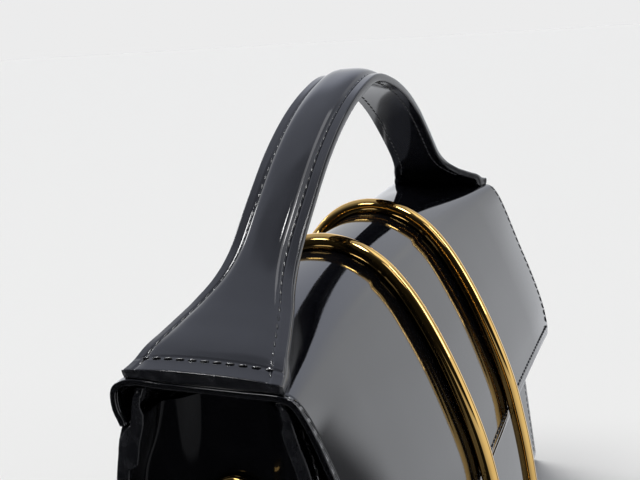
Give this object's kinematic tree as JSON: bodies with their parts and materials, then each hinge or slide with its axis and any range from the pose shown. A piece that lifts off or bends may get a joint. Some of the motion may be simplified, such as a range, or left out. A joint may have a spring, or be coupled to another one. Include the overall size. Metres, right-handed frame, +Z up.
{
  "type": "top-handle handbag",
  "caption": "Structured flap handbag with a flared top handle, recessed gussets, end rings and a long metal loop laid over its flap.",
  "frame": {"origin": "middle of the flat base, on the ground, below the middle of the handle", "axes": "+X along the bag, -Y towards its front, +Z up"},
  "size_m": [0.25, 0.1129, 0.2187],
  "materials": {
    "panel_leather": "polished black box leather, gloss",
    "gusset_leather": "black leather, gloss",
    "flap_leather": "polished black box leather, gloss",
    "handle_leather": "polished black leather, padded, gloss",
    "gold_metal": "mirror polished gold plate",
    "snap_metal": "satin gold plate",
    "thread": "waxed black thread",
    "edge_paint": "smooth black edge paint, semi-gloss"
  },
  "bodies": {
    "bag": {"front_panel": "panel_leather", "back_panel": "panel_leather", "base_panel": "panel_leather", "left_gusset": "gusset_leather", "right_gusset": "gusset_leather", "flap": "flap_leather", "handle": "handle_leather", "loop": "gold_metal", "snap": "snap_metal", "left_tab": "gusset_leather", "right_tab": "gusset_leather"},
    "left_ring": {"left_ring": "gold_metal"},
    "right_ring": {"right_ring": "gold_metal"}
  },
  "joints": [
    {"name": "left_ring_swing", "type": "hinge", "parent": "bag", "child": "left_ring", "pos_m": [-0.11371, 0, 0.102], "axis": [0, -1, 0], "range_deg": [0, 165]},
    {"name": "right_ring_swing", "type": "hinge", "parent": "bag", "child": "right_ring", "pos_m": [0.11371, 0, 0.102], "axis": [0, 1, 0], "range_deg": [0, 165]}
  ]
}
